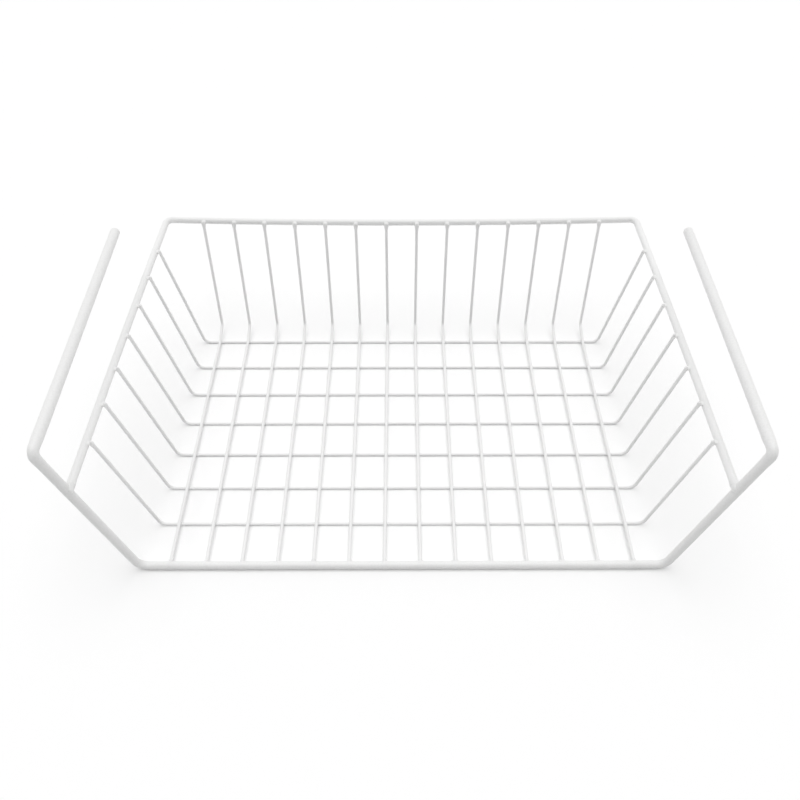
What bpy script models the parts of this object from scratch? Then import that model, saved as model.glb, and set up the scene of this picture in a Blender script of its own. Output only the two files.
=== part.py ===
"""Hanging wire basket: welded, white coated steel wires, with two arms that slide over a shelf board.

Metres, +Z up. The basket stands on Z = 0, its open front faces -Y and its arms reach back along +Y.
The origin lies under the middle of the whole basket.

Every wire of the real basket is one object here:
  frame           one rod: left arm, left slope, front run, right slope, right arm
  rim             one rod: left side, back and right side, welded to the frame's slopes
  cross_wire_N    side wall, floor and side wall, counted from the front
  long_wire_NN    floor and back wall, lying over the cross wires, counted from the left; behind the
                  last cross wire it rises a little before it turns up
"""

import math

import bpy
from mathutils import Quaternion, Vector

# Wire thicknesses, over the coating
FRAME_DIAMETER = 0.0057  # the front run and the slopes
ARM_DIAMETER = 0.0067  # the same rod under the thicker coating of its arms
RIM_DIAMETER = 0.0051
MESH_DIAMETER = 0.0024
WELD_GAP = 0.0003  # left open between two wires where the real ones are welded

# The floor's wire mesh
LONG_WIRES = 14
LONG_PITCH = 0.025
CROSS_WIRES = 7
CROSS_PITCH = 0.0307
FIRST_CROSS = 0.0335  # from the frame's front run to the first cross wire
SIDE_MARGIN = 0.0139  # from the outermost long wire to where floor and side wall would meet
BACK_MARGIN = 0.0146  # from the last cross wire to where floor and back wall would meet
CROSS_BEND = 0.0055  # bend radius between floor and side wall
BACK_LIFT = 0.0045  # how far the long wires rise between the last cross wire and the back wall
LIFT_BEND = 0.010  # bend radius where they start to rise
LONG_BEND = 0.0045  # bend radius between floor and back wall

# The rim
RIM_HEIGHT = 0.1026  # to the wire's centre line
RIM_SIDE_FLARE = 0.0171  # how far its back corners stand outside the floor's corners
RIM_BACK_FLARE = 0.0275  # how far its back run stands behind the floor's back edge
RIM_BEND = 0.005
RIM_INSET = 0.0015  # how far its ends are welded inside the middles of the frame's slopes
RIM_SIDE_BOW = 0.0006  # each side bulges outward by this much at mid length
RIM_BACK_BOW = 0.0038  # the back run is drawn forward by this much at mid length
WIRE_OVERRUN = 0.0008  # how far a mesh wire's end stands above the rim's centre line

# The frame
FRAME_MARGIN = 0.0079  # from the floor's corner out to the corner of the frame's front run
FRAME_FLARE = 0.0188  # how far the arms stand outside the corners of the front run
ARM_HEIGHT = 0.1398  # to the rod's centre line
ARM_LENGTH = 0.1968  # from the front run back to the tips
ARM_SPLAY = 0.0046  # how far each tip stands outside its bend
ARM_BEND = 0.0042
TIP_ROUNDING = 0.0020  # the radius of the rounded edge at an arm's tip
BASE_BEND = 0.0085

# Facets: a wire of resolution N has 4 + 2 * N sides
THICK_RESOLUTION = 4
THIN_RESOLUTION = 2
BEND_STEPS = 6
BOW_STEPS = 5
TIP_STEPS = 4

# Worked out from the sizes above; distances are measured back from the front run, along +Y
FRAME_RADIUS = FRAME_DIAMETER / 2
ARM_RADIUS = ARM_DIAMETER / 2
RIM_RADIUS = RIM_DIAMETER / 2
MESH_RADIUS = MESH_DIAMETER / 2

FLOOR_HALF_WIDTH = (LONG_WIRES - 1) / 2 * LONG_PITCH + SIDE_MARGIN
LAST_CROSS = FIRST_CROSS + (CROSS_WIRES - 1) * CROSS_PITCH
FLOOR_DEPTH = LAST_CROSS + BACK_MARGIN
CROSS_HEIGHT = MESH_RADIUS
LONG_HEIGHT = CROSS_HEIGHT + MESH_DIAMETER + WELD_GAP
LAP = RIM_RADIUS + WELD_GAP + MESH_RADIUS  # a mesh wire's centre line to the rim's, where they meet

FRAME_HALF_WIDTH = FLOOR_HALF_WIDTH + FRAME_MARGIN
ARM_HALF_WIDTH = FRAME_HALF_WIDTH + FRAME_FLARE
SLOPE_RISE = ARM_HEIGHT - FRAME_RADIUS

RIM_DEPTH = FLOOR_DEPTH + RIM_BACK_FLARE
RIM_BACK_HALF_WIDTH = FLOOR_HALF_WIDTH + RIM_SIDE_FLARE
SLOPE_HALF_WIDTH = FRAME_HALF_WIDTH + FRAME_FLARE * (RIM_HEIGHT - FRAME_RADIUS) / SLOPE_RISE  # at the rim
RIM_FRONT_HALF_WIDTH = SLOPE_HALF_WIDTH - RIM_INSET
WELD_DEPTH = FRAME_RADIUS + WELD_GAP  # where the wires that butt against the frame begin

FRONT_Y = -(RIM_DEPTH + RIM_RADIUS - FRAME_RADIUS) / 2
MIRROR = Vector((-1, 1, 1))


def coating(name, colour, roughness):
    """The white coating of one kind of wire."""
    material = bpy.data.materials.new(name)
    material.use_nodes = True
    shader = material.node_tree.nodes["Principled BSDF"]
    shader.inputs["Base Color"].default_value = (*colour, 1.0)
    shader.inputs["Roughness"].default_value = roughness
    shader.inputs["Metallic"].default_value = 0.0
    return material


def rounded(corners):
    """Points of a bent wire: each inner (corner, radius) becomes an arc, or stays where the radius is 0."""
    points = [corners[0][0]]
    for (before, _), (corner, radius), (after, _) in zip(corners, corners[1:], corners[2:]):
        if radius == 0:
            points.append(corner)
            continue
        back = (before - corner).normalized()
        onward = (after - corner).normalized()
        half_angle = back.angle(onward) / 2
        centre = corner + (back + onward).normalized() * radius / math.sin(half_angle)
        first = corner + back * radius / math.tan(half_angle) - centre
        turn_axis = (-back).cross(onward)
        turn = math.pi - 2 * half_angle
        for step in range(BEND_STEPS + 1):
            points.append(centre + Quaternion(turn_axis, turn * step / BEND_STEPS) @ first)
    points.append(corners[-1][0])
    return points


def mirrored(corners):
    """The same corners on the basket's other side, in the other order."""
    return [(point * MIRROR, radius) for point, radius in reversed(corners)]


def side_count(resolution):
    """Sides of a round wire at a bevel resolution."""
    return 4 + 2 * resolution


def wire(name, place, points, radius, resolution, material, tilts=None, thickness=None):
    """A closed round wire along points, with a flat facet turned down where it runs level.

    The radius is the wire's plain one, and thickness gives the share of it at each point.
    """
    facet_turn = math.pi / side_count(resolution)
    curve = bpy.data.curves.new(name, "CURVE")
    curve.dimensions = "3D"
    curve.twist_mode = "MINIMUM"
    curve.bevel_depth = radius / math.cos(facet_turn)
    curve.bevel_resolution = resolution
    curve.use_fill_caps = True
    spline = curve.splines.new("POLY")
    spline.points.add(len(points) - 1)
    for index, point in enumerate(points):
        spline.points[index].co = (*point, 1.0)
        spline.points[index].tilt = facet_turn + (tilts[index] if tilts else 0)
        spline.points[index].radius = thickness[index] if thickness else 1
    spline.use_smooth = True
    curve.materials.append(material)
    piece = bpy.data.objects.new(name, curve)
    piece.location = place
    piece.parent = origin
    basket.objects.link(piece)


def rim_half_width(distance):
    """Half width of the rim at a distance behind the front run."""
    share = distance / RIM_DEPTH
    taper = (RIM_BACK_HALF_WIDTH - RIM_FRONT_HALF_WIDTH) * share
    return RIM_FRONT_HALF_WIDTH + taper + 4 * RIM_SIDE_BOW * share * (1 - share)


def rim_distance(x):
    """Distance of the rim's back run behind the front run."""
    return RIM_DEPTH - RIM_BACK_BOW * (1 - (x / RIM_BACK_HALF_WIDTH) ** 2)


def lapped_end(foot, rim_place):
    """End of a wall wire that leans from its foot against the rim's inner side, as (outward, up)."""
    reach = Vector((rim_place, RIM_HEIGHT)) - Vector(foot)
    direction = math.atan2(reach.y, reach.x) + math.asin(LAP / reach.length)
    length = math.sqrt(reach.length ** 2 - LAP ** 2) + WIRE_OVERRUN
    return foot[0] + length * math.cos(direction), foot[1] + length * math.sin(direction)


def facet_roll(arm, slope, run):
    """How far the thick rod's nearest facet is from level on the front run, when one is level on the arm."""
    level = Vector((0, 0, 1))
    up = level
    for before, after in ((arm, slope), (slope, run)):
        up = before.rotation_difference(after) @ up
    roll = math.atan2(level.cross(up).dot(run.normalized()), level.dot(up))
    return math.remainder(roll, 2 * math.pi / side_count(THICK_RESOLUTION))


def rounded_tip(tip, inward):
    """Points that round the edge of an arm's flat end, and the share of the arm's thickness at each."""
    points, thickness_shares = [], []
    for step in range(TIP_STEPS + 1):
        angle = math.pi / 2 * step / TIP_STEPS
        points.append(tip + inward * TIP_ROUNDING * (1 - math.cos(angle)))
        thickness_shares.append(1 - TIP_ROUNDING / ARM_RADIUS * (1 - math.sin(angle)))
    return points, thickness_shares


def make_frame():
    """The thick rod: arm, slope, front run, slope and arm, with rounded tips."""
    tip = Vector((ARM_HALF_WIDTH + ARM_SPLAY, ARM_LENGTH, SLOPE_RISE))
    bend = Vector((ARM_HALF_WIDTH, 0, SLOPE_RISE))
    base = Vector((FRAME_HALF_WIDTH, 0, 0))
    right_half = [(base, BASE_BEND), (bend, ARM_BEND), (tip, 0)]
    bent = rounded(mirrored(right_half) + right_half)[1:-1]
    swell = ARM_RADIUS / FRAME_RADIUS
    swelling = [swell + (1 - swell) * step / BEND_STEPS for step in range(BEND_STEPS + 1)]
    thickness = swelling + [1] * (len(bent) - 2 * len(swelling)) + swelling[::-1]
    tip_points, tip_shares = rounded_tip(tip, (bend - tip).normalized())
    points = [point * MIRROR for point in tip_points] + bent + tip_points[::-1]
    tip_thickness = [share * swell for share in tip_shares]
    thickness = tip_thickness + thickness + tip_thickness[::-1]
    roll = facet_roll((bend - tip) * MIRROR, (base - bend) * MIRROR, base - base * MIRROR)
    tilts = [-roll if point.z < BASE_BEND and point.y == 0 else 0 for point in points]
    wire("frame", (0, FRONT_Y, FRAME_RADIUS), points, FRAME_RADIUS, THICK_RESOLUTION,
         coating("frame_coating", (0.86, 0.86, 0.85), 0.34), tilts, thickness)


def make_rim():
    """The middling rod: from the left slope round the back to the right slope."""
    corner = Vector((RIM_BACK_HALF_WIDTH, RIM_DEPTH, 0))
    right_side = [(corner, RIM_BEND)]
    for step in reversed(range(BOW_STEPS)):
        distance = WELD_DEPTH + (RIM_DEPTH - WELD_DEPTH) * step / BOW_STEPS
        right_side.append((Vector((rim_half_width(distance), distance, 0)), 0))
    back = []
    for step in range(1 - BOW_STEPS, BOW_STEPS):
        x = RIM_BACK_HALF_WIDTH * step / BOW_STEPS
        back.append((Vector((x, rim_distance(x), 0)), 0))
    wire("rim", (0, FRONT_Y, RIM_HEIGHT), rounded(mirrored(right_side) + back + right_side),
         RIM_RADIUS, THICK_RESOLUTION, coating("rim_coating", (0.86, 0.86, 0.84), 0.34))


def make_cross_wires():
    """The wires from side to side: wall, floor and wall, inside the rim."""
    material = coating("cross_wire_coating", (0.85, 0.85, 0.84), 0.36)
    for number in range(CROSS_WIRES):
        distance = FIRST_CROSS + number * CROSS_PITCH
        end_x, end_z = lapped_end((FLOOR_HALF_WIDTH, CROSS_HEIGHT), rim_half_width(distance))
        end = Vector((end_x, 0, end_z - CROSS_HEIGHT))
        foot = Vector((FLOOR_HALF_WIDTH, 0, 0))
        right_half = [(foot, CROSS_BEND), (end, 0)]
        wire(f"cross_wire_{number + 1}", (0, FRONT_Y + distance, CROSS_HEIGHT),
             rounded(mirrored(right_half) + right_half), MESH_RADIUS, THIN_RESOLUTION, material)


def make_long_wires():
    """The wires from front to back: over the cross wires, a little up, then up inside the rim's back run."""
    material = coating("long_wire_coating", (0.85, 0.85, 0.84), 0.36)
    for number in range(LONG_WIRES):
        x = (number - (LONG_WIRES - 1) / 2) * LONG_PITCH
        end_y, end_z = lapped_end((FLOOR_DEPTH, LONG_HEIGHT), rim_distance(x))
        start = Vector((0, WELD_DEPTH, 0))
        rise = Vector((0, LAST_CROSS, 0))
        foot = Vector((0, FLOOR_DEPTH, 0))
        end = Vector((0, end_y, end_z - LONG_HEIGHT))
        corner = foot.lerp(end, BACK_LIFT / end.z)
        wire(f"long_wire_{number + 1:02d}", (x, FRONT_Y, LONG_HEIGHT),
             rounded([(start, 0), (rise, LIFT_BEND), (corner, LONG_BEND), (end, 0)]),
             MESH_RADIUS, THIN_RESOLUTION, material)


for leftover in list(bpy.data.objects):
    bpy.data.objects.remove(leftover)

basket = bpy.data.collections.new("hanging_wire_basket")
bpy.context.scene.collection.children.link(basket)
origin = bpy.data.objects.new("basket_origin", None)
basket.objects.link(origin)

make_frame()
make_rim()
make_cross_wires()
make_long_wires()
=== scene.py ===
# %% [markdown]
# A hanging wire basket
#
# The basket is bent from steel wire, welded, and dipped in a white coating. Two long arms at its top
# slide over a shelf board, so that it hangs below. This lesson dresses the plain model: every faceted
# wire gets a smooth coated one, the welds get their pools of coating, and the whole stands on a white
# table under a soft studio light, seen as the photograph sees it.

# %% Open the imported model
import math

import bpy
from mathutils import Matrix, Vector


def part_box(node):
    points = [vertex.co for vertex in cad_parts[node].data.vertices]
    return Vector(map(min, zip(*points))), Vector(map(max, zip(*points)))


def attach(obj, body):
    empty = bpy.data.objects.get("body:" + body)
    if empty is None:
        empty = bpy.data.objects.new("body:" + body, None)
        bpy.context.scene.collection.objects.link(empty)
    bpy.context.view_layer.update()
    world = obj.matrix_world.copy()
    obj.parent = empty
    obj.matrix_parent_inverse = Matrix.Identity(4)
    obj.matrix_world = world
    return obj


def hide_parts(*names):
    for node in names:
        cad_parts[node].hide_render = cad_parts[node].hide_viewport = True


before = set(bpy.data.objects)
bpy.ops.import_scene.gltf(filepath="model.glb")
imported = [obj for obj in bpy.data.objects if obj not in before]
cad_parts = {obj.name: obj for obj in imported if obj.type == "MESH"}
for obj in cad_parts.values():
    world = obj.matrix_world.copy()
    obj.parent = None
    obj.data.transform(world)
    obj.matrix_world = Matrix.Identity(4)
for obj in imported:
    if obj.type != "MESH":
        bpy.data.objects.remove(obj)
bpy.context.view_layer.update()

# %% [markdown]
# Sizes
#
# The smooth wires follow the same lines as the model's. A straight wire's box tells how thick it is and
# where it lies, so these sizes are read from the model. A box can't tell a bend radius or how far a wall
# leans, so such sizes are written out, with each piece, as the model's design has them. All of them are
# in metres. A distance is measured from the middle of the frame's front run back along +Y.

# %% Read what the boxes tell
cross_nodes = sorted(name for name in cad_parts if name.startswith("cross_wire_"))
long_nodes = sorted(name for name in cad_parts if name.startswith("long_wire_"))
cross_low, cross_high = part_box(cross_nodes[0])
long_low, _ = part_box(long_nodes[0])
rim_low, rim_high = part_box("rim")

mesh_radius = (cross_high.y - cross_low.y) / 2
cross_height = cross_low.z + mesh_radius
long_height = long_low.z + mesh_radius
weld_gap = long_height - cross_height - 2 * mesh_radius
rim_radius = (rim_high.z - rim_low.z) / 2
rim_height = (rim_high.z + rim_low.z) / 2
print("cross and long wires:", len(cross_nodes), len(long_nodes))
print("mesh wire and rim thickness, mm:", round(2000 * mesh_radius, 2), round(2000 * rim_radius, 2))

# %% Find the front run and the floor
FRAME_DIAMETER = 0.0057
SIDE_MARGIN = 0.0139  # from the outermost long wire to the corner of floor and side wall
BACK_MARGIN = 0.0146  # from the last cross wire to the corner of floor and back wall

frame_radius = FRAME_DIAMETER / 2
front_y = long_low.y - weld_gap - frame_radius
cross_places = [(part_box(node)[0].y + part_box(node)[1].y) / 2 - front_y for node in cross_nodes]
long_places = [(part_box(node)[0].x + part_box(node)[1].x) / 2 for node in long_nodes]
floor_half_width = long_places[-1] + SIDE_MARGIN
floor_depth = cross_places[-1] + BACK_MARGIN
print("floor, mm:", round(2000 * floor_half_width, 1), "x", round(1000 * floor_depth, 1))

# %% [markdown]
# Paths
#
# A bent wire is a row of corners, each with its bend radius. A curve object could hold them, but a mesh
# that has only points and edges can carry any attribute, and Geometry Nodes make a curve of it. Each
# point carries two: the bend radius, and the share of the wire's plain thickness.

# %% A path from its corners
def path_object(name, paths):
    """Edges through each path's corners (point, bend radius, thickness share), for a tree to follow."""
    corners = [corner for path in paths for corner in path]
    edges, start = [], 0
    for path in paths:
        edges += [(start + step, start + step + 1) for step in range(len(path) - 1)]
        start += len(path)
    mesh = bpy.data.meshes.new(name)
    mesh.from_pydata([point + Vector((0, front_y, 0)) for point, _, _ in corners], edges, [])
    bends = mesh.attributes.new("bend_radius", "FLOAT", "POINT")
    shares = mesh.attributes.new("thickness_share", "FLOAT", "POINT")
    for index, (_, bend_radius, share) in enumerate(corners):
        bends.data[index].value = bend_radius
        shares.data[index].value = share
    path = bpy.data.objects.new(name, mesh)
    bpy.context.scene.collection.objects.link(path)
    return path


def both_sides(right_half):
    """A whole path from its right half, which starts at the middle."""
    mirror = Vector((-1, 1, 1))
    left_half = [(point * mirror, bend_radius, share)
                 for point, bend_radius, share in reversed(right_half)]
    return left_half + right_half


# %% [markdown]
# The frame's path
#
# One thick rod makes the front run, a slope on each side and the two arms. The photograph shows the arms
# a little thicker than the slopes, so the coating there is taken as thicker, and it starts in the bend.

# %% Lay out the frame's path
ARM_DIAMETER = 0.0067
ARM_LENGTH = 0.1968
ARM_SPLAY = 0.0046  # how far each tip stands outside its bend
ARM_BEND = 0.0042
FRAME_MARGIN = 0.0079  # from the floor's corner out to the corner of the front run
FRAME_FLARE = 0.0188  # how far the arms stand outside the corners of the front run
BASE_BEND = 0.0085
COATING_STEP_SHARE = 2.4  # how far from the bend the coating changes, in bend radii

arm_radius = ARM_DIAMETER / 2
arm_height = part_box("frame")[1].z - arm_radius
frame_half_width = floor_half_width + FRAME_MARGIN
arm_half_width = frame_half_width + FRAME_FLARE
arm_swell = arm_radius / frame_radius
coating_step = COATING_STEP_SHARE * ARM_BEND
arm_tip = Vector((arm_half_width + ARM_SPLAY, ARM_LENGTH, arm_height))
arm_bend = Vector((arm_half_width, 0, arm_height))
frame_base = Vector((frame_half_width, 0, frame_radius))
frame_path = both_sides([
    (frame_base, BASE_BEND, 1),
    (arm_bend + (frame_base - arm_bend).normalized() * coating_step, 0, 1),
    (arm_bend, ARM_BEND, (1 + arm_swell) / 2),
    (arm_bend + (arm_tip - arm_bend).normalized() * coating_step, 0, arm_swell),
    (arm_tip, 0, arm_swell),
])
print("arms: height, mm:", round(1000 * arm_height, 1), " apart:", round(2000 * arm_half_width, 1))

# %% [markdown]
# The rim's path
#
# The rim is the middling rod round the top: a side, the back and the other side. Its sides bulge a
# little and its back run is drawn forward in the middle, so each is a row of points on a flat arch. The
# ends lie in the slopes of the frame, a little inside their middles, where they are welded.

# %% Lay out the rim's path
RIM_SIDE_FLARE = 0.0171  # how far its back corners stand outside the floor's corners
RIM_BACK_FLARE = 0.0275  # how far its back run stands behind the floor's back edge
RIM_BEND = 0.005
RIM_INSET = 0.0015  # how far its ends lie inside the middles of the slopes
RIM_SIDE_BOW = 0.0006
RIM_BACK_BOW = 0.0038
RIM_END_LAP = 0.0022  # how far its ends reach into the slopes
BOW_STEPS = 8

slope_share = (rim_height - frame_radius) / (arm_height - frame_radius)
rim_front_half_width = frame_half_width + FRAME_FLARE * slope_share - RIM_INSET
rim_back_half_width = floor_half_width + RIM_SIDE_FLARE
rim_depth = floor_depth + RIM_BACK_FLARE


def rim_half_width(distance):
    """Half width of the rim at a distance from the front."""
    share = distance / rim_depth
    taper = (rim_back_half_width - rim_front_half_width) * share
    return rim_front_half_width + taper + 4 * RIM_SIDE_BOW * share * (1 - share)


def rim_distance(x):
    """How far the rim's back run lies from the front."""
    return rim_depth - RIM_BACK_BOW * (1 - (x / rim_back_half_width) ** 2)


right_half = []
for step in range(1, BOW_STEPS):
    x = rim_back_half_width * step / BOW_STEPS
    right_half.append((Vector((x, rim_distance(x), rim_height)), 0, 1))
right_half.append((Vector((rim_back_half_width, rim_depth, rim_height)), RIM_BEND, 1))
for step in reversed(range(BOW_STEPS)):
    distance = rim_depth * step / BOW_STEPS
    right_half.append((Vector((rim_half_width(distance), distance, rim_height)), 0, 1))
right_half.append((Vector((rim_front_half_width, -RIM_END_LAP, rim_height)), 0, 1))
rim_path = both_sides(right_half)
print("rim, mm:", round(2000 * rim_half_width(0), 1), "x", round(1000 * rim_depth, 1))

# %% [markdown]
# The mesh wires' paths
#
# Seven cross wires run from side wall to side wall, and fourteen long wires over them, from the front
# run to the back wall. Each wall wire leans against the rim's inner side and ends there, so its direction
# is that of a line from its foot that passes the rim's middle at a fixed distance. From the end a web of
# coating flows over into the rim, and its path is made here too, from the same points.

# %% Where a wall wire ends, and its web
WIRE_END = 0.0013  # how far the wire goes on past the place where it touches the rim
WEB_LENGTH = 0.0045  # how far down the wire the web begins
WEB_TOP = 0.0004
WEB_BEND = 0.0016
WEB_ROOT_SHARE = 0.35  # where the web ends inside the rim, as a share of the way out to the wire
WEB_SHARES = (1.04, 1.5, 2.7)  # the web's half widths along its path, in wire radii

lap = rim_radius + weld_gap + mesh_radius


def lapped_end(foot, rim_place):
    """End of a wall wire and the three points of its web, as (outward, up), from its foot."""
    rim_middle = Vector((rim_place, rim_height))
    reach = rim_middle - foot
    direction = math.atan2(reach.y, reach.x) + math.asin(lap / reach.length)
    along = Vector((math.cos(direction), math.sin(direction)))
    touch = foot + along * math.sqrt(reach.length ** 2 - lap ** 2)
    web_root = rim_middle.lerp(touch, WEB_ROOT_SHARE) + along * WEB_TOP
    return touch + along * WIRE_END, (touch - along * WEB_LENGTH, touch + along * WEB_TOP, web_root)


print("wire to rim, middle to middle, mm:", round(1000 * lap, 2))

# %% Lay out the mesh wires' and the webs' paths
CROSS_BEND = 0.0055
BACK_LIFT = 0.0045  # how far the long wires rise between the last cross wire and the back wall
LIFT_BEND = 0.010  # bend radius where they start to rise
LONG_BEND = 0.0045

cross_paths, long_paths, web_paths, rim_welds = [], [], [], []
for distance in cross_places:
    end, web = lapped_end(Vector((floor_half_width, cross_height)), rim_half_width(distance))
    foot = Vector((floor_half_width, distance, cross_height))
    top = Vector((end.x, distance, end.y))
    cross_paths.append(both_sides([(foot, CROSS_BEND, 1), (top, 0, 1)]))
    for side in (-1, 1):
        rim_welds.append((Vector((side * end.x, distance, end.y)), Vector((0, 1, 0))))
        web_paths.append([(Vector((side * point.x, distance, point.y)), WEB_BEND, share)
                          for point, share in zip(web, WEB_SHARES)])
for x in long_places:
    end, web = lapped_end(Vector((floor_depth, long_height)), rim_distance(x))
    start = Vector((x, 0, long_height))
    rise = Vector((x, cross_places[-1], long_height))
    foot = Vector((x, floor_depth, long_height))
    top = Vector((x, end.x, end.y))
    corner = foot.lerp(top, BACK_LIFT / (top.z - foot.z))
    long_paths.append([(start, 0, 1), (rise, LIFT_BEND, 1), (corner, LONG_BEND, 1), (top, 0, 1)])
    rim_welds.append((top, Vector((1, 0, 0))))
    web_paths.append([(Vector((x, point.x, point.y)), WEB_BEND, share)
                      for point, share in zip(web, WEB_SHARES)])
print("mesh wires:", len(cross_paths) + len(long_paths), " webs:", len(web_paths))

# %% [markdown]
# Welds
#
# The wires are held together by spot welds, and the coating gathers in each corner beside one. Every
# weld is a point with the direction of the wire that lies over it. The wire tree reads the points to
# swell the coating near them and to mark it for a glossier pool with painted shade, a little greyer,
# and a later tree sets beads on some of them.

# %% Place the welds
floor_welds = [(Vector((x, distance, cross_height + mesh_radius)), Vector((0, 1, 0)))
               for distance in cross_places for x in long_places]
front_welds = [(Vector((x, frame_radius, long_height)), Vector((0, 1, 0))) for x in long_places]
frame_welds = [(Vector((side * rim_front_half_width, frame_radius, rim_height)), Vector((0, 1, 0)))
               for side in (-1, 1)]


def weld_object(name, welds):
    """Loose points at the welds, each with the direction of its bead."""
    mesh = bpy.data.meshes.new(name)
    mesh.from_pydata([point + Vector((0, front_y, 0)) for point, _ in welds], [], [])
    directions = mesh.attributes.new("bead_direction", "FLOAT_VECTOR", "POINT")
    for index, (_, direction) in enumerate(welds):
        directions.data[index].vector = direction
    points = bpy.data.objects.new(name, mesh)
    bpy.context.scene.collection.objects.link(points)
    return points


all_welds = weld_object("weld_points", floor_welds + front_welds + rim_welds + frame_welds)
print("welds:", len(all_welds.data.vertices))

# %% [markdown]
# The coating's material
#
# The dipped coating is a white plastic skin with a satin gloss. From close by it shows a gentle orange
# peel, some unevenness of tone, and a glossier pool beside each weld. On top of these, the hollows of
# the peel and each pool get painted shade: they are a little darker and greyer in colour. All the wires
# share these effects, so they are one node group, and each material gives it its own values. The
# pattern lies on Object coordinates, which need no UV map on a wire.

# %% A helper for nodes
def add_node(tree, kind, links=None, values=None, **settings):
    """A node with its settings made, its inputs linked or given plain values."""
    node = tree.nodes.new(kind)
    for name, value in settings.items():
        setattr(node, name, value)
    for socket, source in (links or {}).items():
        tree.links.new(source, node.inputs[socket])
    for socket, value in (values or {}).items():
        node.inputs[socket].default_value = value
    return node


# %% The shared finish: inputs and outputs
finish = bpy.data.node_groups.new("dipped_coating", "ShaderNodeTree")
for name, kind, value in (("Coating", "NodeSocketColor", (0.83, 0.83, 0.82, 1)),
                          # The second colour is a darker tone. The peel's hollows and the welds also take
                          # it as painted shade.
                          ("Pooled Coating", "NodeSocketColor", (0.78, 0.78, 0.76, 1)),
                          ("Peel Size", "NodeSocketFloat", 0.0012),
                          ("Tone Size", "NodeSocketFloat", 0.03),
                          ("Pit Depth", "NodeSocketFloat", 0.3),
                          ("Roughness", "NodeSocketFloat", 0.36)):
    socket = finish.interface.new_socket(name, in_out="INPUT", socket_type=kind)
    socket.default_value = value
for name, kind in (("Color", "NodeSocketColor"), ("Roughness", "NodeSocketFloat"),
                   ("Height", "NodeSocketFloat")):
    finish.interface.new_socket(name, in_out="OUTPUT", socket_type=kind)
print("inputs and outputs:", [item.name for item in finish.interface.items_tree])

# %% The shared finish: peel, tone, pools and painted shade
TONE_STRENGTH = 0.4  # how far the unevenness of tone goes towards the darker colour
POOL_AND_SHADE_STRENGTH = 0.5  # how far a weld's pool goes towards the darker colour, as painted shade, and the gloss, in its middle
POOL_GLOSS = -0.12  # what a pool does to the roughness

given = finish.nodes.new("NodeGroupInput").outputs
shown = finish.nodes.new("NodeGroupOutput").inputs
place = add_node(finish, "ShaderNodeTexCoord").outputs["Object"]
peel_scale = add_node(finish, "ShaderNodeMath", {1: given["Peel Size"]}, {0: 1.0}, operation="DIVIDE")
peel = add_node(finish, "ShaderNodeTexNoise", {"Vector": place, "Scale": peel_scale.outputs[0]},
                {"Detail": 2.0, "Roughness": 0.45})
tone_scale = add_node(finish, "ShaderNodeMath", {1: given["Tone Size"]}, {0: 1.0}, operation="DIVIDE")
tone = add_node(finish, "ShaderNodeTexNoise", {"Vector": place, "Scale": tone_scale.outputs[0]},
                {"Detail": 3.0, "Roughness": 0.6})
uneven = add_node(finish, "ShaderNodeMapRange", {"Value": tone.outputs["Fac"]},
                  {"From Min": 0.35, "From Max": 0.75, "To Min": 0.0, "To Max": TONE_STRENGTH})
# Painted shade: the hollows of the peel are drawn a little darker in colour, as well as lower in the bump.
painted_pit_shade = add_node(finish, "ShaderNodeMapRange", {"Value": peel.outputs["Fac"], "To Max": given["Pit Depth"]},
                {"From Min": 0.6, "From Max": 0.35, "To Min": 0.0})
shaded = add_node(finish, "ShaderNodeMath", {0: uneven.outputs["Result"], 1: painted_pit_shade.outputs["Result"]},
                  operation="ADD")
near_weld = add_node(finish, "ShaderNodeAttribute", attribute_name="near_weld").outputs["Fac"]
# Painted shade: near a weld the colour goes a little greyer. The lower roughness there is the pool's real
# gloss.
tone_shade_and_pool = add_node(finish, "ShaderNodeMath", {0: near_weld, 2: shaded.outputs[0]}, {1: POOL_AND_SHADE_STRENGTH},
                  operation="MULTIPLY_ADD", use_clamp=True)
colour = add_node(finish, "ShaderNodeMix", {"Factor": tone_shade_and_pool.outputs[0], "A": given["Coating"],
                                            "B": given["Pooled Coating"]}, data_type="RGBA")
gloss = add_node(finish, "ShaderNodeMath", {0: tone_shade_and_pool.outputs[0], 2: given["Roughness"]},
                 {1: POOL_GLOSS}, operation="MULTIPLY_ADD")
finish.links.new(colour.outputs["Result"], shown["Color"])
finish.links.new(gloss.outputs[0], shown["Roughness"])
finish.links.new(peel.outputs["Fac"], shown["Height"])
print("shared finish:", len(finish.nodes), "nodes")

# %% One material for each kind of wire
PEEL_HEIGHT = 0.0001
SPECULAR = 0.4


def coating_material(name, coating, tone_and_shade_coating, peel_size, pit_shade, roughness, bump):
    """The coating of one kind of wire: the shared finish with its own values."""
    material = bpy.data.materials.new(name)
    material.use_nodes = True
    tree = material.node_tree
    shader = tree.nodes["Principled BSDF"]
    group = add_node(tree, "ShaderNodeGroup", node_tree=finish)
    for socket, value in (("Coating", (*coating, 1)), ("Pooled Coating", (*tone_and_shade_coating, 1)),
                          ("Peel Size", peel_size), ("Pit Depth", pit_shade), ("Roughness", roughness)):
        group.inputs[socket].default_value = value
    bumps = add_node(tree, "ShaderNodeBump", {"Height": group.outputs["Height"]},
                     {"Strength": bump, "Distance": PEEL_HEIGHT})
    tree.links.new(group.outputs["Color"], shader.inputs["Base Color"])
    tree.links.new(group.outputs["Roughness"], shader.inputs["Roughness"])
    tree.links.new(bumps.outputs["Normal"], shader.inputs["Normal"])
    shader.inputs["Specular IOR Level"].default_value = SPECULAR
    return material


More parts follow.
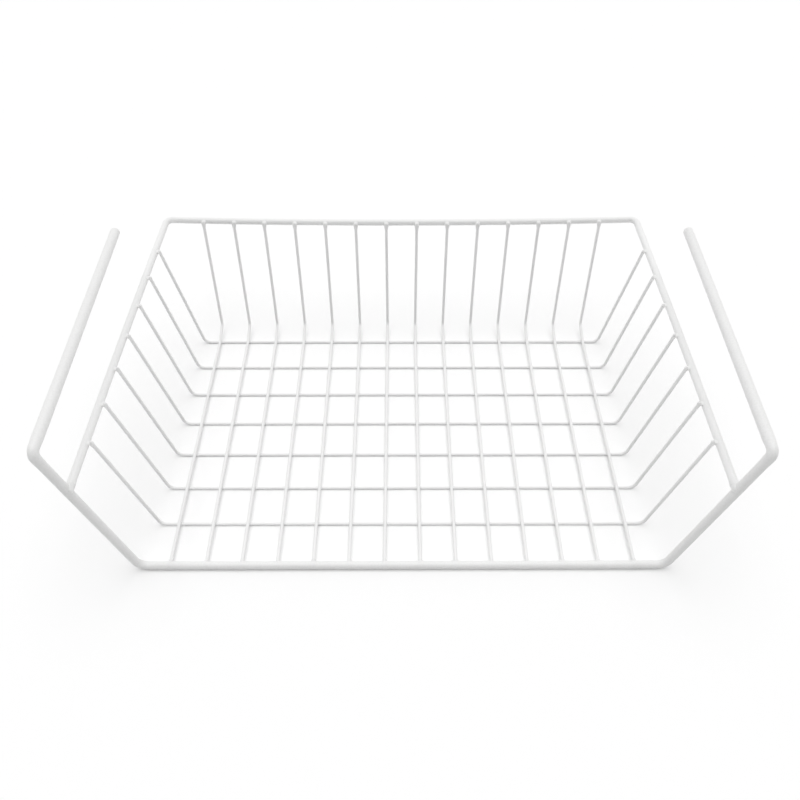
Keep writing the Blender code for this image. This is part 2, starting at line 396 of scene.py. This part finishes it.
# Each coating's second colour is its darker tone, and also the painted shade in the peel's hollows and at
# the welds.
frame_coating = coating_material(
    "frame_coating", coating=(0.850, 0.850, 0.847), tone_and_shade_coating=(0.785, 0.785, 0.78),
    peel_size=0.0011, pit_shade=0.5, roughness=0.42, bump=0.5)
rim_coating = coating_material(
    "rim_coating", coating=(0.875, 0.875, 0.872), tone_and_shade_coating=(0.82, 0.82, 0.815),
    peel_size=0.0011, pit_shade=0.25, roughness=0.38, bump=0.4)
mesh_wire_coating = coating_material(
    "mesh_wire_coating", coating=(0.872, 0.872, 0.87), tone_and_shade_coating=(0.82, 0.82, 0.817),
    peel_size=0.0009, pit_shade=0.12, roughness=0.36, bump=0.3)
print("materials:", [material.name for material in (frame_coating, rim_coating, mesh_wire_coating)])

# %% [markdown]
# A wire, as a Geometry Nodes tree
#
# All the wires are made the same way: bend the path at its corners, space points evenly along it, give
# each point its thickness, and sweep a circle. One tree does it for all of them, and only its inputs
# differ. A curve object with a bevel would do too, but the tree can also thicken the coating near a weld
# and close the ends like a half ball, as a dipped end is.

# %% Helpers that start and end a tree
def new_tree(name, inputs):
    """A Geometry Nodes tree with a geometry in and out, and the named inputs."""
    tree = bpy.data.node_groups.new(name, "GeometryNodeTree")
    tree.interface.new_socket("Geometry", in_out="INPUT", socket_type="NodeSocketGeometry")
    for label, kind in inputs:
        tree.interface.new_socket(label, in_out="INPUT", socket_type=kind)
    tree.interface.new_socket("Geometry", in_out="OUTPUT", socket_type="NodeSocketGeometry")
    return tree, tree.nodes.new("NodeGroupInput").outputs


def bent_path(tree, given):
    """A path's edges as a curve with its bends, and the thickness share of its points."""
    bend_radius = add_node(tree, "GeometryNodeInputNamedAttribute", values={"Name": "bend_radius"})
    share = add_node(tree, "GeometryNodeInputNamedAttribute", values={"Name": "thickness_share"})
    line = add_node(tree, "GeometryNodeMeshToCurve", {"Mesh": given["Geometry"]})
    bent = add_node(tree, "GeometryNodeFilletCurve", {
        "Curve": line.outputs["Curve"], "Count": given["Bend Steps"],
        "Radius": bend_radius.outputs["Attribute"]}, mode="POLY")
    return bent.outputs["Curve"], share.outputs["Attribute"]


def end_tree(tree, given, geometry):
    """The end of a tree: smooth shading, real geometry and the coating."""
    smooth = add_node(tree, "GeometryNodeSetShadeSmooth", {"Geometry": geometry})
    real = add_node(tree, "GeometryNodeRealizeInstances", {"Geometry": smooth.outputs["Geometry"]})
    coated = add_node(tree, "GeometryNodeSetMaterial", {"Geometry": real.outputs["Geometry"],
                                                        "Material": given["Coating"]})
    made = tree.nodes.new("NodeGroupOutput")
    tree.links.new(coated.outputs["Geometry"], made.inputs["Geometry"])
    print(tree.name, "tree:", len(tree.nodes), "nodes")


def maths(tree, operation, *terms):
    """A maths node on sockets and plain numbers."""
    node = tree.nodes.new("ShaderNodeMath")
    node.operation = operation
    for index, term in enumerate(terms):
        if isinstance(term, (int, float)):
            node.inputs[index].default_value = term
        else:
            tree.links.new(term, node.inputs[index])
    return node.outputs[0]


# %% The wire tree: bends and even points
wire_tree, given = new_tree("coated_wire", (
    ("Radius", "NodeSocketFloat"), ("Sides", "NodeSocketInt"), ("Bend Steps", "NodeSocketInt"),
    ("Spacing", "NodeSocketFloat"), ("Tip Rounding", "NodeSocketFloat"), ("Welds", "NodeSocketObject"),
    ("Weld Reach", "NodeSocketFloat"), ("Weld Swelling", "NodeSocketFloat"),
    ("Coating", "NodeSocketMaterial")))
bent, share = bent_path(wire_tree, given)
spaced = add_node(wire_tree, "GeometryNodeResampleCurve", {"Curve": bent, "Length": given["Spacing"]},
                  mode="LENGTH")
print("inputs:", [item.name for item in wire_tree.interface.items_tree][1:])

# %% The wire tree: rounded ends
CLOSED_TIP = 1.0001  # a hair over 1, so that the last ring keeps a size

walked = add_node(wire_tree, "GeometryNodeSplineParameter").outputs["Length"]
whole = add_node(wire_tree, "GeometryNodeSplineLength").outputs["Length"]
to_end = maths(wire_tree, "MINIMUM", walked, maths(wire_tree, "SUBTRACT", whole, walked))
inset = maths(wire_tree, "MINIMUM", maths(wire_tree, "DIVIDE", to_end, given["Tip Rounding"]), 1.0)
missing = maths(wire_tree, "POWER", maths(wire_tree, "SUBTRACT", 1.0, inset), 2.0)
arch = maths(wire_tree, "SQRT", maths(wire_tree, "SUBTRACT", CLOSED_TIP, missing))
drop = maths(wire_tree, "MULTIPLY", maths(wire_tree, "SUBTRACT", 1.0, arch),
             maths(wire_tree, "DIVIDE", given["Tip Rounding"], given["Radius"]))
roundness = maths(wire_tree, "SUBTRACT", 1.0, drop)
print("so far:", len(wire_tree.nodes), "nodes")

# %% The wire tree: swelling near a weld, and the sweep
weld_points = add_node(wire_tree, "GeometryNodeObjectInfo", {"Object": given["Welds"]})
nearest = add_node(wire_tree, "GeometryNodeProximity", {"Geometry": weld_points.outputs["Geometry"]},
                   target_element="POINTS")
apart = maths(wire_tree, "DIVIDE", nearest.outputs["Distance"], given["Weld Reach"])
falling = maths(wire_tree, "MULTIPLY", maths(wire_tree, "POWER", apart, 2.0), -1.0)
nearness = maths(wire_tree, "EXPONENT", falling)
swell = maths(wire_tree, "MULTIPLY_ADD", nearness, given["Weld Swelling"], 1.0)
thickness = maths(wire_tree, "MULTIPLY", maths(wire_tree, "MULTIPLY", given["Radius"], share),
                  maths(wire_tree, "MULTIPLY", swell, roundness))
marked = add_node(wire_tree, "GeometryNodeStoreNamedAttribute",
                  {"Geometry": spaced.outputs["Curve"], "Value": nearness}, {"Name": "near_weld"})
circle = add_node(wire_tree, "GeometryNodeCurvePrimitiveCircle", {"Resolution": given["Sides"]},
                  {"Radius": 1.0})
swept = add_node(wire_tree, "GeometryNodeCurveToMesh", {
    "Curve": marked.outputs["Geometry"], "Profile Curve": circle.outputs["Curve"], "Scale": thickness},
    {"Fill Caps": True})
end_tree(wire_tree, given, swept.outputs["Mesh"])


# %% From a tree to a plain mesh
def baked(source, tree, inputs):
    """Runs a tree on an object and keeps the result as the object's plain mesh."""
    modifier = source.modifiers.new(tree.name, "NODES")
    modifier.node_group = tree
    for item in tree.interface.items_tree:
        if item.in_out == "INPUT" and item.name in inputs:
            modifier[item.identifier] = inputs[item.name]
    source.update_tag()
    depsgraph = bpy.context.evaluated_depsgraph_get()
    mesh = bpy.data.meshes.new_from_object(source.evaluated_get(depsgraph), depsgraph=depsgraph)
    source.modifiers.remove(modifier)
    source.data = mesh
    return source


def coated_wire(node, path, inputs):
    """The smooth wire that stands for one node of the model."""
    piece = baked(path_object(node + "_coated", [path]), wire_tree, inputs)
    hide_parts(node)
    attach(piece, "root")
    return piece


# %% [markdown]
# The frame and the rim
#
# The frame is one thick rod and the rim one middling rod. They show most, so their circles have the
# most sides and their points lie closest together.

# %% Make the frame and the rim
WIRE_BEND_STEPS = 12
RIM_TIP_SHARE = 0.95  # how far from its end the rim begins to round, in its radii

frame_piece = coated_wire("frame", frame_path, {
    "Radius": frame_radius, "Sides": 32, "Bend Steps": WIRE_BEND_STEPS, "Spacing": 0.0005,
    "Tip Rounding": 0.0020, "Welds": all_welds, "Weld Reach": 0.003, "Weld Swelling": 0.06,
    "Coating": frame_coating})
rim_piece = coated_wire("rim", rim_path, {
    "Radius": rim_radius, "Sides": 24, "Bend Steps": WIRE_BEND_STEPS, "Spacing": 0.0005,
    "Tip Rounding": RIM_TIP_SHARE * rim_radius, "Welds": all_welds, "Weld Reach": 0.0032,
    "Weld Swelling": 0.08, "Coating": rim_coating})
for piece in (frame_piece, rim_piece):
    print(piece.name, "faces:", len(piece.data.polygons))

# %% [markdown]
# The mesh
#
# The thin wires show less, so sixteen sides are enough. The long ones lie on the cross ones, and all of
# them end inside the rim. The model has a node for each wire, so each stays a piece of its own.

# %% Make the mesh wires
WIRE_TIP_SHARE = 0.8

mesh_wire_look = {
    "Radius": mesh_radius, "Sides": 16, "Bend Steps": WIRE_BEND_STEPS, "Spacing": 0.0006,
    "Tip Rounding": WIRE_TIP_SHARE * mesh_radius, "Welds": all_welds, "Weld Reach": 0.0022,
    "Weld Swelling": 0.08, "Coating": mesh_wire_coating}
for node, path in zip(cross_nodes + long_nodes, cross_paths + long_paths):
    piece = coated_wire(node, path, mesh_wire_look)
print("mesh wires:", len(cross_nodes + long_nodes), " faces of the last:", len(piece.data.polygons))

# %% [markdown]
# Webs at the rim
#
# Where a wall wire ends against the rim, the coating flows from the wire over into the rim: a strap that
# widens along the rim and has no edge. A ball there would look like a knob. Each strap is swept along its
# short path with a flat oval, which is kept upright so that its wide side lies along the rim. All
# twenty-eight lie in one mesh and one run of the tree.

# %% The web tree
web_tree, given = new_tree("rim_webs", (
    ("Radius", "NodeSocketFloat"), ("Flatness", "NodeSocketFloat"), ("Sides", "NodeSocketInt"),
    ("Bend Steps", "NodeSocketInt"), ("Pool And Shade", "NodeSocketFloat"), ("Coating", "NodeSocketMaterial")))
bent, share = bent_path(web_tree, given)
upright = add_node(web_tree, "GeometryNodeSetCurveNormal", {"Curve": bent}, mode="Z_UP")
circle = add_node(web_tree, "GeometryNodeCurvePrimitiveCircle", {"Resolution": given["Sides"]},
                  {"Radius": 1.0})
flat = add_node(web_tree, "ShaderNodeCombineXYZ", {"Y": given["Flatness"]}, {"X": 1.0, "Z": 1.0})
oval = add_node(web_tree, "GeometryNodeTransform", {"Geometry": circle.outputs["Curve"],
                                                    "Scale": flat.outputs["Vector"]})
half_width = maths(web_tree, "MULTIPLY", given["Radius"], share)
swept = add_node(web_tree, "GeometryNodeCurveToMesh", {
    "Curve": upright.outputs["Curve"], "Profile Curve": oval.outputs["Geometry"], "Scale": half_width},
    {"Fill Caps": True})
marked = add_node(web_tree, "GeometryNodeStoreNamedAttribute", {
    "Geometry": swept.outputs["Mesh"], "Value": given["Pool And Shade"]}, {"Name": "near_weld"})
end_tree(web_tree, given, marked.outputs["Geometry"])

# %% Make the webs
# Painted shade: the webs take part of the darker colour, as at a weld.
web_piece = baked(path_object("rim_webs", web_paths), web_tree, {
    "Radius": mesh_radius, "Flatness": 0.5, "Sides": 14, "Bend Steps": 5, "Pool And Shade": 0.6,
    "Coating": rim_coating})
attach(web_piece, "root")
print("webs:", len(web_paths), " faces:", len(web_piece.data.polygons))

# %% [markdown]
# Beads of coating
#
# Where two wires of the floor cross, or one butts against the front run, the coating bridges the corner
# between them. A small bead on the weld's point, stretched along the upper wire, gives that soft corner.
# More than a hundred are needed, so one low ball is set on every point as an instance, and the tree makes
# the instances real at its end.

# %% The bead tree
BALL_FINENESS = 3

bead_tree, given = new_tree("weld_beads", (
    ("Bead Width", "NodeSocketFloat"), ("Bead Length", "NodeSocketFloat"), ("Pool And Shade", "NodeSocketFloat"),
    ("Coating", "NodeSocketMaterial")))
direction = add_node(bead_tree, "GeometryNodeInputNamedAttribute", values={"Name": "bead_direction"},
                     data_type="FLOAT_VECTOR")
turned = add_node(bead_tree, "FunctionNodeAlignRotationToVector",
                  {"Vector": direction.outputs["Attribute"]})
ball = add_node(bead_tree, "GeometryNodeMeshIcoSphere",
                values={"Radius": 1.0, "Subdivisions": BALL_FINENESS})
marked = add_node(bead_tree, "GeometryNodeStoreNamedAttribute", {
    "Geometry": ball.outputs["Mesh"], "Value": given["Pool And Shade"]}, {"Name": "near_weld"})
stretch = add_node(bead_tree, "ShaderNodeCombineXYZ", {
    "X": given["Bead Width"], "Y": given["Bead Width"], "Z": given["Bead Length"]})
beads = add_node(bead_tree, "GeometryNodeInstanceOnPoints", {
    "Points": given["Geometry"], "Instance": marked.outputs["Geometry"],
    "Rotation": turned.outputs["Rotation"], "Scale": stretch.outputs["Vector"]})
end_tree(bead_tree, given, beads.outputs["Instances"])

# %% Set the beads
# Painted shade: the beads take the darker colour fully, as shade in the weld's corner.
for name, welds, slot, inputs in (
        ("floor_weld_beads", floor_welds, "mesh_wire_coating",
         {"Bead Width": 0.0011, "Bead Length": 0.0016, "Pool And Shade": 1.0, "Coating": mesh_wire_coating}),
        ("front_weld_beads", front_welds, "mesh_wire_coating",
         {"Bead Width": 0.0015, "Bead Length": 0.0014, "Pool And Shade": 1.0, "Coating": mesh_wire_coating}),
        ("frame_weld_beads", frame_welds, "rim_coating",
         {"Bead Width": 0.0029, "Bead Length": 0.0022, "Pool And Shade": 1.0, "Coating": rim_coating})):
    piece = baked(weld_object(name, welds), bead_tree, inputs)
    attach(piece, "root")
    print(name, "faces:", len(piece.data.polygons))
bpy.data.objects.remove(all_welds)

# %% [markdown]
# The camera
#
# The photograph looks down on the open front from above. The camera's place, turn and lens were found by
# matching the wires' lines in the photograph with the basket's own sizes. Its place is given from the
# middle of the front run, on the table. The lens is known in pixels of the photograph, so it is turned
# into millimetres, and a shift of half a pixel puts the middle where the photograph has it.

# %% Place the camera
PHOTO_SIZE = 800
FOCAL_PIXELS = 688.9
PIXEL_CENTRE = 0.5
SENSOR_WIDTH = 36
NEAREST_SEEN = 0.01
PITCH, YAW, ROLL = math.radians(50.993), math.radians(-0.188), math.radians(-0.064)
CAMERA_PLACE = Vector((-0.002194, -0.214414, 0.450732))

camera = bpy.data.objects.new("photo_camera", bpy.data.cameras.new("photo_camera"))
camera.data.sensor_width = SENSOR_WIDTH
camera.data.lens = FOCAL_PIXELS / PHOTO_SIZE * SENSOR_WIDTH
camera.data.clip_start = NEAREST_SEEN
camera.data.shift_x = -PIXEL_CENTRE / PHOTO_SIZE
camera.data.shift_y = PIXEL_CENTRE / PHOTO_SIZE
look = (Matrix.Rotation(YAW, 4, "Z") @ Matrix.Rotation(math.radians(90) - PITCH, 4, "X")
        @ Matrix.Rotation(-ROLL, 4, "Z"))
camera.matrix_world = Matrix.Translation(CAMERA_PLACE + Vector((0, front_y, 0))) @ look
bpy.context.scene.collection.objects.link(camera)
bpy.context.scene.camera = camera
print("lens, mm:", round(camera.data.lens, 2))

# %% [markdown]
# The table
#
# The basket stands on a plain white table, which is pale enough to render white and still keeps the soft
# shadow under the wires. It is matt, so it shows no reflection.

# %% Set the table
TABLE_SIZE = 8
TABLE_WHITE = 0.96
TABLE_ROUGHNESS = 0.9

bpy.ops.mesh.primitive_plane_add(size=TABLE_SIZE)
table = bpy.context.object
table.name = "white_table"
table_white = bpy.data.materials.new("table_white")
table_white.use_nodes = True
table_shader = table_white.node_tree.nodes["Principled BSDF"]
table_shader.inputs["Base Color"].default_value = (TABLE_WHITE, TABLE_WHITE, TABLE_WHITE, 1)
table_shader.inputs["Roughness"].default_value = TABLE_ROUGHNESS
table.data.materials.append(table_white)
print("table, m:", TABLE_SIZE)

# %% [markdown]
# The light
#
# A wide soft lamp hangs nearly overhead. The room is bright behind and above the basket and dark in
# front, so the wires' tops are near white, the sides that face the camera are grey, and a thin dark line
# stays where a wire meets the table. Camera rays and rays off gloss or through glass see plain white, so
# the background is white without more light on the basket.

# %% Hang the lamp
LAMP_WIDTH = 50  # how wide the lamp looks from the basket, in degrees
LAMP_LEAN = 4  # how far it stands off the vertical, in degrees
LAMP_STRENGTH = 1.3

lamp = bpy.data.objects.new("soft_lamp", bpy.data.lights.new("soft_lamp", "SUN"))
lamp.data.angle = math.radians(LAMP_WIDTH)
lamp.data.energy = LAMP_STRENGTH
lamp.rotation_euler.x = math.radians(-LAMP_LEAN)
bpy.context.scene.collection.objects.link(lamp)
print("lamp:", lamp.name, "strength", LAMP_STRENGTH)

# %% Light the room
ROOM_FRONT = 0.0
ROOM_BACK = 0.72
ROOM_RISE = 0.5  # how much height counts beside depth in the brightness
ROOM_DARK_EDGE = -0.7  # where, on that measure, the dark begins

room = bpy.data.worlds.new("studio_room")
room.use_nodes = True
bpy.context.scene.world = room
tree = room.node_tree
toward = add_node(tree, "ShaderNodeTexCoord").outputs["Generated"]
away = add_node(tree, "ShaderNodeVectorMath", {0: toward}, {1: (0, 1, ROOM_RISE)},
                operation="DOT_PRODUCT").outputs["Value"]
strength = add_node(tree, "ShaderNodeMapRange", {"Value": away}, {
    "From Min": ROOM_DARK_EDGE, "From Max": 0.0, "To Min": ROOM_FRONT, "To Max": ROOM_BACK})
rays = add_node(tree, "ShaderNodeLightPath").outputs
seen = maths(tree, "ADD", maths(tree, "ADD", rays["Is Camera Ray"], rays["Is Glossy Ray"]),
             rays["Is Transmission Ray"])
shown_strength = add_node(tree, "ShaderNodeMix", {"Factor": seen, "A": strength.outputs["Result"]},
                          {"B": 1.0})
background = tree.nodes["Background"]
background.inputs["Color"].default_value = (1, 1, 1, 1)
tree.links.new(shown_strength.outputs["Result"], background.inputs["Strength"])
bpy.context.scene.view_settings.view_transform = "Standard"
print("room:", len(tree.nodes), "nodes")
